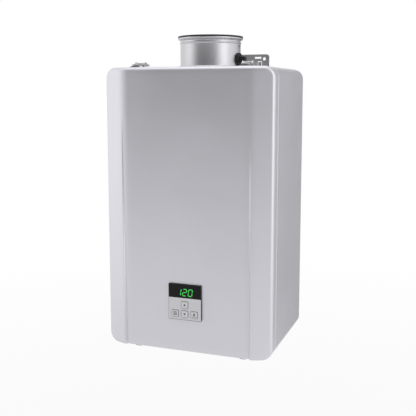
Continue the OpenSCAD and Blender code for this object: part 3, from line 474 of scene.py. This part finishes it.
def swept_frame():
    """Front frame: a band with rolled edges, a lip under the cover and a flange for the gasket."""
    front = FRAME_LOW.y - FRONT_Y
    back = FRAME_HIGH.y - FRONT_Y
    cover_gap = 0.6
    ledge = COVER_D + cover_gap
    roll = 1.2
    front_roll = 0.6
    ease = 0.3
    lip = 1.6
    flange = 16.0
    profile = [
        (front_roll, ledge), (front_roll * ease, ledge + front_roll * ease), (0, ledge + front_roll),
        (0, back - roll), (roll * ease, back - roll * ease), (roll, back),
        (roll, ledge + SHEET), (lip + SHEET, ledge + SHEET), (lip + SHEET, front + SHEET),
        (lip + flange, front + SHEET), (lip + flange, front), (lip, front), (lip, ledge),
    ]
    corners = []
    for inset, depth in reversed(profile):
        corners += [(x, FRONT_Y + depth, z) for x, z in outline_points(inset)]
    count = len(outline_points(0))
    faces = quads(len(profile), count, wrap_rows=True, wrap_columns=True)
    add_piece("front_frame_skin", corners, faces, "silver_paint", "case", ["front_frame"], sharp=50)


def plan_depth(x):
    """Depth of the cover's front at a distance from the middle, without its sunk panel."""
    over = abs(x) - FLAT_HALF
    bend_run = BEND_R * math.sin(BEVEL)
    if over <= 0:
        return 0.0
    if over <= bend_run:
        return BEND_R - math.sqrt(BEND_R ** 2 - over ** 2)
    return BEND_R * (1 - math.cos(BEVEL)) + (over - bend_run) * math.tan(BEVEL)


def front_depth(x, z):
    """Depth of the cover's front, with the middle panel sinking towards the bottom."""
    share = 0.5 - (abs(x) - RECESS_HALF) / RECESS_STEP
    share = min(1.0, max(0.0, share))
    share = share * share * (3 - 2 * share)
    sink = max(0.0, (TOP_Z - z - RECESS_START) / (CASE_H - RECESS_START))
    return plan_depth(x) + share * RECESS_DEPTH * sink


def corner_columns(steps=9):
    """Where the front's rounded corner runs: (x, height above the corner's centre, outward direction)."""
    places = []
    for step in range(steps + 1):
        angle = math.pi / 2 * (1 - step / steps)
        start = math.atan(math.tan(BEVEL) * math.cos(angle))
        radius = CORNER_R - ROLL_R * (1 - math.sin(start))
        places.append((
            HALF_W - CORNER_R + radius * math.cos(angle), radius * math.sin(angle),
            (math.cos(angle), math.sin(angle)),
        ))
    return places


def cover_columns():
    """X places of the cover's grid on the right half, closer together at the bend and the crease."""
    flat = [0, 12, 24, HOLE_HALF, 48, 64, 80, 96, 108, 116]
    bend_start = FLAT_HALF - 2
    bend_pitch = 0.9
    bend = [bend_start + step * bend_pitch for step in range(18)]
    crease_pitch = 0.2
    crease = [RECESS_HALF + step * crease_pitch for step in range(-8, 9)]
    bevel = [136.6, 138.5, 141, 144.9, 150]
    return sorted(set(round(x, 3) for x in flat + bend + crease + bevel))


def cover_rows():
    """Heights of the cover's grid between its rounded corners, with rows at the panel's hole."""
    margin = 6
    pitch = 8
    low = BOTTOM_Z + CORNER_R
    high = TOP_Z - CORNER_R
    count = int((high - low - 2 * margin) / pitch) + 1
    rows = [low + margin + step * pitch for step in range(count)]
    rows += [high - margin, HOLE_LOW, HOLE_HIGH]
    return sorted(set(round(z, 3) for z in rows))


def cover_heights(place, rows):
    """Heights of one column of the cover's grid, carried on to where its rolled edge starts."""
    ends = (0.34, 0.67, 1.0)
    rise = place[1] if place else CORNER_R - ROLL_R
    low = BOTTOM_Z + CORNER_R - rise
    high = TOP_Z - CORNER_R + rise
    below = [rows[0] + (low - rows[0]) * share for share in reversed(ends)]
    above = [rows[-1] + (high - rows[-1]) * share for share in ends]
    return below + rows + above


def in_panel_hole(corners):
    """Whether the middle of a face lies in the cover's hole for the control panel."""
    middle_x = sum(corner[0] for corner in corners) / len(corners)
    middle_z = sum(corner[2] for corner in corners) / len(corners)
    return abs(middle_x) < HOLE_HALF and HOLE_LOW < middle_z < HOLE_HIGH


def cover_skin():
    """Front cover: grid of the front, rolled edges round it and a flange back to the case."""
    right = [(x, None) for x in cover_columns()] + [(place[0], place) for place in corner_columns()]
    columns = [(-x, place) for x, place in reversed(right) if x > 0] + right
    inner_rows = cover_rows()
    corners = []
    for x, place in columns:
        corners += [(x, FRONT_Y + front_depth(x, z), z) for z in cover_heights(place, inner_rows)]
    rows = len(corners) // len(columns)
    faces = []
    for face in quads(len(columns), rows):
        if not in_panel_hole([corners[index] for index in face]):
            faces.append(face[::-1])

    loop = cover_loop(columns, rows)
    count = len(loop)
    ring = [index for index, _ in loop]
    for part, share in edge_profile():
        first = len(corners)
        for index, (normal_x, normal_z) in loop:
            start = math.atan(math.tan(BEVEL) * abs(normal_x))
            x, y, z = corners[index]
            out, back = roll_point(start, part, share, y - FRONT_Y)
            corners.append((x + normal_x * out, FRONT_Y + back, z + normal_z * out))
        for step in range(count):
            after = (step + 1) % count
            faces.append((ring[step], ring[after], first + after, first + step))
        ring = list(range(first, first + count))
    piece = add_piece("front_cover_skin", corners, faces, "silver_paint", "cover", ["front_cover"], sharp=38)
    thicken(piece, SHEET, sharp=38)


def cover_loop(columns, rows):
    """Edge of the cover's grid in order, with the outward direction at each corner."""
    loop = []
    last = len(columns) - 1

    def direction(column, end):
        x, place = columns[column]
        wide, high = place[2] if place else (0.0, 1.0)
        return (math.copysign(wide, x), end * high)

    for column in range(last + 1):
        loop.append((column * rows + rows - 1, direction(column, 1)))
    for row in range(rows - 2, 0, -1):
        loop.append((last * rows + row, (1.0, 0.0)))
    for column in range(last, -1, -1):
        loop.append((column * rows, direction(column, -1)))
    for row in range(1, rows - 1):
        loop.append((row, (-1.0, 0.0)))
    return loop


def edge_profile(roll_steps=7):
    """Steps round the cover's rolled edge, back along its flange and in at its hem, each by its share."""
    profile = [("roll", (step + 1) / roll_steps) for step in range(roll_steps)]
    profile += [("flange", 0.5), ("flange", 0.96), ("hem", 0.35), ("hem", 1.0)]
    return profile


def roll_point(start, part, share, depth):
    """Outward run and depth of one step round the edge, from the roll's first angle."""
    full = ROLL_R * (1 - math.sin(start))
    end_depth = depth + ROLL_R * math.cos(start)
    if part == "roll":
        angle = start + (math.pi / 2 - start) * share
        out = ROLL_R * (math.sin(angle) - math.sin(start))
        return out, depth + ROLL_R * (math.cos(start) - math.cos(angle))
    if part == "flange":
        return full, end_depth + (COVER_D - end_depth) * share
    return full - SHEET * share, COVER_D - HEM * (1 - share)


def vent_collar():
    """Collar for the vent pipe: foot, neck, bead, flare, a turned rim and a stop in its bore."""
    out = VENT_R + VENT_WALL
    foot = out + VENT_FOOT
    foot_t = 2
    foot_edge = 1.6
    fillet_w = 2.2
    fillet_top = 5
    bead_h = VENT_H - 11
    bead_out = out + 1.3
    bead_half = 2
    bead_flat = 0.5
    rim = out + VENT_RIM
    flare_low = VENT_H - 6.2
    flare_high = VENT_H - 3.4
    flare_in = 0.8
    rim_edge = VENT_H - 2.2
    stop_r = VENT_R - 2.5
    stop_top = 34
    stop_low = 31.5
    low_r = VENT_R - 1
    profile = [
        (stop_r, 0), (foot, 0), (foot, foot_edge), (out + fillet_w, foot_t), (out, fillet_top),
        (out, bead_h - bead_half), (bead_out, bead_h - bead_flat),
        (bead_out, bead_h + bead_flat), (out, bead_h + bead_half),
        (out, flare_low), (rim - flare_in, flare_high), (rim, rim_edge), (rim, VENT_H),
        (VENT_R, VENT_H), (VENT_R, stop_top), (stop_r, stop_top), (stop_r, stop_low),
        (low_r, stop_low), (low_r, foot_t), (stop_r, foot_t),
    ]
    corners, faces = turned(softened(profile, radius=0.9, steps=3), VENT)
    add_piece("flue_collar_turned", corners, faces, "vent_steel", "case", ["flue_collar"], sharp=50)


def rim_seal():
    """Black lip seal on the collar's rim, with a groove along its top."""
    height = SEAL_HIGH.z - SEAL_LOW.z
    shoulder = height * 0.8
    lip = 0.8
    inner = VENT_R + SEAL_CLEARANCE
    outer = SEAL_HIGH.x - VENT.x
    middle = (inner + outer) / 2
    profile = [
        (inner, 0), (outer, 0), (outer, shoulder), (outer - lip, height), (middle + lip, height),
        (middle, height - lip), (middle - lip, height), (inner + lip, height), (inner, shoulder),
    ]
    centre = (VENT.x, VENT.y, SEAL_LOW.z)
    corners, faces = turned(softened(profile, radius=0.5, steps=3), centre)
    add_piece("flue_rim_seal_turned", corners, faces, "black_rubber", "case", ["flue_rim_seal"], sharp=60)


def about_vent(corners, angle):
    """Corners turned about the vent's upright axis."""
    spin = Matrix.Rotation(angle, 3, "Z")
    return [VENT + spin @ (corner - VENT) for corner in corners]


def port_cap():
    """Push-fit cap of the test port: a disc with a skirt over the seat, a raised edge and a square grip."""
    seat = Vector((VENT.x + PORT_SEAT_R, VENT.y, (CAP_LOW.z + CAP_HIGH.z) / 2))
    axis_r = 0.01
    plug_r = 6.6
    plug_end = -3.2
    disc_r = (CAP_HIGH.z - CAP_LOW.z) / 2
    disc_t = 2.0
    skirt_r = disc_r - 0.4
    skirt_end = -1.8
    edge_r = disc_r - 1.2
    floor_r = disc_r - 1.8
    floor_t = 1.2
    hub_r = 8.2
    hub_top_r = 7.6
    hub_h = 2.2
    profile = [
        (axis_r, plug_end), (plug_r, plug_end), (plug_r, 0), (skirt_r, 0), (skirt_r, skirt_end),
        (disc_r, skirt_end), (disc_r, disc_t), (edge_r, disc_t), (floor_r, floor_t), (hub_r, floor_t),
        (hub_top_r, hub_h), (axis_r, hub_h),
    ]
    corners, faces = turned(softened(profile, radius=0.35, steps=3), seat, along="x", steps=64)
    grip_corners, grip_faces = cap_grip(seat, len(corners))
    corners = about_vent(corners + grip_corners, -PORT_TURN)
    faces += grip_faces
    add_piece(
        "test_port_cap_moulded", corners, faces, "black_rubber", "port_cap", ["test_port_cap"], sharp=50
    )


def cap_grip(seat, first):
    """Corners and faces of the cap's square grip, which tapers to a soft end."""
    foot_h = 1.5
    foot_half = 6.3
    tip_half = 5.7
    corner = 1.3
    end = PORT_CAP_LENGTH
    # Distance along the cap's axis and half width there: the foot, then three steps round the soft end
    levels = [
        (foot_h, foot_half), (end - 1.0, tip_half + 0.1), (end - 0.3, tip_half - 0.2), (end, tip_half - 0.9)
    ]
    corners = []
    for height, half in levels:
        outline = rounded_box(half, half, corner, steps=4)
        corners += [seat + Vector((height, wide, high)) for wide, high in outline]
    count = len(corners) // len(levels)
    past = first + len(corners)
    faces = quads(len(levels), count, wrap_columns=True, first=first)
    faces.append(tuple(range(past - count, past)))
    faces.append(tuple(reversed(range(first, first + count))))
    return corners, faces


def add_print_and_painted_shade(name, outlines, bands, centre, front, body):
    """Thin raised dark layer that faces forwards, for printed marks and for painted shade: plain outlines,
    and bands from an outer to an inner outline.
    """
    corners = []
    faces = []

    def lay(outline, depth):
        corners.extend((centre[0] + x, depth, centre[1] + z) for x, z in outline)

    for outline in outlines:
        back_first = len(corners)
        front_first = back_first + len(outline)
        lay(outline, front)
        lay(outline, front - PRINT_AND_SHADE_T)
        faces += quads(2, len(outline), wrap_columns=True, first=back_first)
        faces.append(tuple(reversed(range(back_first, front_first))))
        faces.append(tuple(range(front_first, len(corners))))
    for outer, inner in bands:
        first = len(corners)
        lay(outer, front)
        lay(outer, front - PRINT_AND_SHADE_T)
        lay(inner, front - PRINT_AND_SHADE_T)
        lay(inner, front)
        faces += quads(4, len(outer), wrap_rows=True, wrap_columns=True, first=first)
    add_piece(name, corners, faces, "black_plastic", body, material=MATERIALS["ink_and_painted_shade"])


def bar(x0, z0, x1, z1):
    """Outline of a rectangle between two opposite corners."""
    return [(x0, z0), (x1, z0), (x1, z1), (x0, z1)]


def arc(x, z, radius, start, sweep, steps):
    """Points on an arc, with both ends."""
    angles = [start + sweep * step / steps for step in range(steps + 1)]
    return [(x + radius * math.cos(angle), z + radius * math.sin(angle)) for angle in angles]


def disc(x, z, radius, steps=16):
    """Outline of a disc."""
    return arc(x, z, radius, 0, 2 * math.pi, steps)[:-1]


def drop(x, z, radius, rise, steps=14):
    """A disc that runs up to a point."""
    side = math.acos(radius / rise)
    return [(x, z + rise)] + arc(x, z, radius, math.pi / 2 + side, 2 * (math.pi - side), steps)


def rounded_box(half_w, half_h, radius, steps=5):
    """Outline of a rectangle with rounded corners about the middle."""
    box = [(half_w, half_h), (-half_w, half_h), (-half_w, -half_h), (half_w, -half_h)]
    return softened(box, radius, steps)


def button_prints():
    """Generic marks on the four buttons: two arrows, a list and a drop over a line, each in a frame."""
    arrow_half = 2.7
    arrow_foot = 1.9
    arrow_tip = 2.5
    mark_half = 4.0
    # Outlines (x, z) about each button's middle
    marks = {
        "up": [[(-arrow_half, -arrow_foot), (arrow_half, -arrow_foot), (0, arrow_tip)]],
        "down": [[(-arrow_half, arrow_foot), (0, -arrow_tip), (arrow_half, arrow_foot)]],
        "left": [
            bar(-mark_half, 2.1, mark_half, 3.5), bar(-mark_half, -0.6, 1.4, 0.8),
            bar(-mark_half, -3.3, mark_half, -1.9), disc(3.1, 0.1, radius=1.0),
        ],
        "right": [drop(0, 0.4, radius=1.9, rise=4.0), bar(-mark_half, -4.2, mark_half, -3.0)],
    }
    inset = 0.1
    line = 0.45
    corner = 2.4
    for name, outlines in marks.items():
        low, high = box_mm("button_" + name)
        centre = ((low.x + high.x) / 2, (low.z + high.z) / 2)
        half_w = (high.x - low.x) / 2 - inset
        half_h = (high.z - low.z) / 2 - inset
        frame_line = (
            rounded_box(half_w, half_h, corner), rounded_box(half_w - line, half_h - line, corner - line)
        )
        add_print_and_painted_shade("button_print_" + name, outlines, [frame_line], centre, low.y, "key_" + name)


def keypad_shade_line():
    """Dark line painted along the left and lower edges of the keypad's film, as painted shade of the gap
    round the control panel.
    """
    side = 0.4
    foot = 0.7
    half_w = (KEYPAD_HIGH.x - KEYPAD_LOW.x) / 2
    half_h = (KEYPAD_HIGH.z - KEYPAD_LOW.z) / 2
    middle = (KEYPAD_LOW + KEYPAD_HIGH) / 2
    line = [
        (-half_w, -half_h), (half_w, -half_h), (half_w, -half_h + foot), (-half_w + side, -half_h + foot),
        (-half_w + side, half_h), (-half_w, half_h),
    ]
    add_print_and_painted_shade("keypad_shade_line", [line], [], (middle.x, middle.z), KEYPAD_LOW.y, "cover")


def pipe_threads():
    """Screw threads of the pipe stubs, as sleeves on the plain stubs."""
    slots = {"gas_connection": "plated_steel", "cold_connection": "brass", "hot_connection": "brass"}
    for mount in frame["record"]["mounts"]:
        if mount["name"] not in slots:
            continue
        length = mount["dims"]["length_mm"] - STUB_PLAIN
        start = Vector(mount["pos_m"]) / MM - Vector((0, 0, length / 2))
        corners, faces = thread(start, length, mount["dims"]["r_mm"])
        add_piece(mount["name"] + "_thread", corners, faces, slots[mount["name"]], "case", sharp=60)


def thread(start, length, radius, steps=48, rows_a_turn=10):
    """Upright sleeve with a screw thread that runs out at both ends."""
    rows = round(length / THREAD_PITCH * rows_a_turn)
    bore_r = radius + THREAD_SEAT
    root_r = bore_r + THREAD_SEAT
    corners = []

    def lay(reach, angle, height):
        corners.append(start + Vector((reach * math.cos(angle), reach * math.sin(angle), height)))

    for row in range(rows + 1):
        height = length * row / rows
        depth = THREAD_DEPTH * min(1.0, height / THREAD_PITCH, (length - height) / THREAD_PITCH)
        for step in range(steps):
            share = step / steps
            phase = (height / THREAD_PITCH - share) % 1.0
            lay(root_r + depth * (1 - abs(2 * phase - 1)), 2 * math.pi * share, height)
    for height in (length, 0):
        for step in range(steps):
            lay(bore_r, 2 * math.pi * step / steps, height)
    return corners, quads(rows + 3, steps, wrap_rows=True, wrap_columns=True)


# Studio: powers of the lamps in watts, and the light of the surroundings
LEFT_POWER = 7.0
RIGHT_POWER = 8.5
TOP_POWER = 10.0
WORLD_LIGHT = 0.45

# Floor in metres: reach, height, and the distances between which its share of white grows to one
FLOOR_REACH = 9.0
FLOOR_Z = -1.15
FLOOR_NEAR = 1.0
FLOOR_FAR = 3.2
FLOOR_NEAR_WHITE = 0.9
FLOOR_COLOUR = (0.86, 0.86, 0.87, 1)

# Roughness of the cards that only reflections meet
CARD_ROUGHNESS = 0.9

# Camera: place in metres, tilt downwards and turn in degrees, lens and sensor in millimetres
CAMERA_PLACE = (0.51552, -1.53695, -0.07402)
CAMERA_TILT = 7.319
CAMERA_TURN = 19.993
LENS = 61.02
LENS_SHIFT = -0.06
SENSOR = 36.0


def studio():
    """Floor, two grey cards that only reflections meet, lamps, world and camera."""
    add_floor()
    add_card(
        "front_card", start=(-4.6, -3.2), end=(2.9, -3.2), heights=(-0.6, 2.6), greys=(0.0, 0.53), fade=0.41
    )
    add_card("back_card", start=(0.1, 0.95), end=(0.85, 0.85), heights=(-1.1, 1.2), greys=(0.62, 0.62))
    aim = Vector((0, -0.15, -0.3))
    add_lamp("left_softbox", place=(-2.6, -1.35, 0.25), aim=aim, size=(2.0, 2.6), power=LEFT_POWER)
    add_lamp("right_softbox", place=(2.3, -0.9, 0.2), aim=aim, size=(1.2, 2.4), power=RIGHT_POWER)
    add_lamp("top_softbox", place=(0.0, -0.4, 2.1), aim=aim, size=(2.2, 1.8), power=TOP_POWER)
    add_world()
    add_camera()


def add_lamp(name, place, aim, size, power):
    """Softbox that looks from its place at a point."""
    lamp = bpy.data.lights.new(name, "AREA")
    lamp.shape = "RECTANGLE"
    lamp.size, lamp.size_y = size
    lamp.energy = power
    holder = bpy.data.objects.new(name, lamp)
    holder.location = place
    holder.rotation_euler = (aim - Vector(place)).to_track_quat("-Z", "Y").to_euler()
    bpy.context.scene.collection.objects.link(holder)


def seen_directly(tree):
    """One where a camera, glossy or transmission ray meets the surface, else zero."""
    path = new_node(tree, "ShaderNodeLightPath")
    first = new_node(tree, "ShaderNodeMath", operation="MAXIMUM")
    both = new_node(tree, "ShaderNodeMath", operation="MAXIMUM")
    link(tree, path.outputs["Is Camera Ray"], first.inputs[0])
    link(tree, path.outputs["Is Glossy Ray"], first.inputs[1])
    link(tree, first.outputs["Value"], both.inputs[0])
    link(tree, path.outputs["Is Transmission Ray"], both.inputs[1])
    return both.outputs["Value"]


def add_sheet(name, corners):
    """Flat sheet of the studio between four corners in metres."""
    mesh = bpy.data.meshes.new(name)
    mesh.from_pydata(corners, [], [(0, 1, 2, 3)])
    sheet = bpy.data.objects.new(name, mesh)
    bpy.context.scene.collection.objects.link(sheet)
    return sheet


def add_floor():
    """Pale floor far below the heater, which hangs; it turns into the white background with distance."""
    floor = add_sheet("studio_floor", [
        (-FLOOR_REACH, -FLOOR_REACH, FLOOR_Z), (FLOOR_REACH, -FLOOR_REACH, FLOOR_Z),
        (FLOOR_REACH, FLOOR_REACH, FLOOR_Z), (-FLOOR_REACH, FLOOR_REACH, FLOOR_Z),
    ])
    material, tree = empty_material("studio_floor")
    output = new_node(tree, "ShaderNodeOutputMaterial")
    pale = new_node(tree, "ShaderNodeBsdfDiffuse")
    pale.inputs["Color"].default_value = FLOOR_COLOUR
    white = new_node(tree, "ShaderNodeEmission")
    white.inputs["Color"].default_value = WHITE
    white.inputs["Strength"].default_value = WHITE_LIGHT
    place = new_node(tree, "ShaderNodeTexCoord")
    far = new_node(tree, "ShaderNodeVectorMath", operation="LENGTH")
    link(tree, place.outputs["Object"], far.inputs[0])
    fade = add_range(tree, far.outputs["Value"], FLOOR_NEAR, FLOOR_FAR, FLOOR_NEAR_WHITE, 1.0)
    share = new_node(tree, "ShaderNodeMath", operation="MULTIPLY")
    link(tree, fade, share.inputs[0])
    link(tree, seen_directly(tree), share.inputs[1])
    mixed = mix_shaders(tree, share.outputs["Value"], pale.outputs["BSDF"], white.outputs["Emission"])
    link(tree, mixed, output.inputs["Surface"])
    floor.data.materials.append(material)


def add_card(name, start, end, heights, greys, fade=0.0):
    """Upright card between two places on the floor plan, which only reflections meet.

    Its grey changes evenly along it, and it comes in gradually over the first share of its length.
    """
    low, high = heights
    card = add_sheet(name, [(*start, low), (*end, low), (*end, high), (*start, high)])
    material = bpy.data.materials.new(name)
    material.use_nodes = True
    tree = material.node_tree
    shader = tree.nodes["Principled BSDF"]
    shader.inputs["Roughness"].default_value = CARD_ROUGHNESS
    place = new_node(tree, "ShaderNodeTexCoord")
    parts = new_node(tree, "ShaderNodeSeparateXYZ")
    link(tree, place.outputs["Object"], parts.inputs["Vector"])

    def along(reach, first, last):
        stop = start[0] + (end[0] - start[0]) * reach
        return add_range(tree, parts.outputs["X"], start[0], stop, first, last)

    link(tree, along(1.0, *greys), shader.inputs["Base Color"])
    if fade:
        link(tree, along(fade, 0.0, 1.0), shader.inputs["Alpha"])
    card.data.materials.append(material)
    card.visible_camera = False
    card.visible_diffuse = False
    card.visible_shadow = False
    card.visible_transmission = False


def add_background(tree, strength):
    """Even white light of the surroundings."""
    light = new_node(tree, "ShaderNodeBackground")
    light.inputs["Color"].default_value = WHITE
    light.inputs["Strength"].default_value = strength
    return light.outputs["Background"]


def add_world():
    """White behind everything, and a dimmer even light on the object."""
    world = bpy.data.worlds.new("studio_world")
    bpy.context.scene.world = world
    world.use_nodes = True
    tree = world.node_tree
    tree.nodes.clear()
    output = new_node(tree, "ShaderNodeOutputWorld")
    dim = add_background(tree, WORLD_LIGHT)
    white = add_background(tree, WHITE_LIGHT)
    link(tree, mix_shaders(tree, seen_directly(tree), dim, white), output.inputs["Surface"])


def add_camera():
    """Camera near the photograph's viewpoint, tilted a little where the photograph's looks level."""
    lens = bpy.data.cameras.new("camera")
    lens.sensor_width = SENSOR
    lens.lens = LENS
    lens.shift_y = LENS_SHIFT
    camera = bpy.data.objects.new("camera", lens)
    camera.location = CAMERA_PLACE
    camera.rotation_euler = (math.radians(90 - CAMERA_TILT), 0, math.radians(CAMERA_TURN))
    bpy.context.scene.collection.objects.link(camera)
    bpy.context.scene.camera = camera


bpy.context.scene.view_settings.view_transform = "Standard"
dress_frame()
cover_skin()
swept_frame()
vent_collar()
rim_seal()
port_cap()
button_prints()
# Painted shade: a dark line along the keypad's left and lower edges
keypad_shade_line()
pipe_threads()
studio()
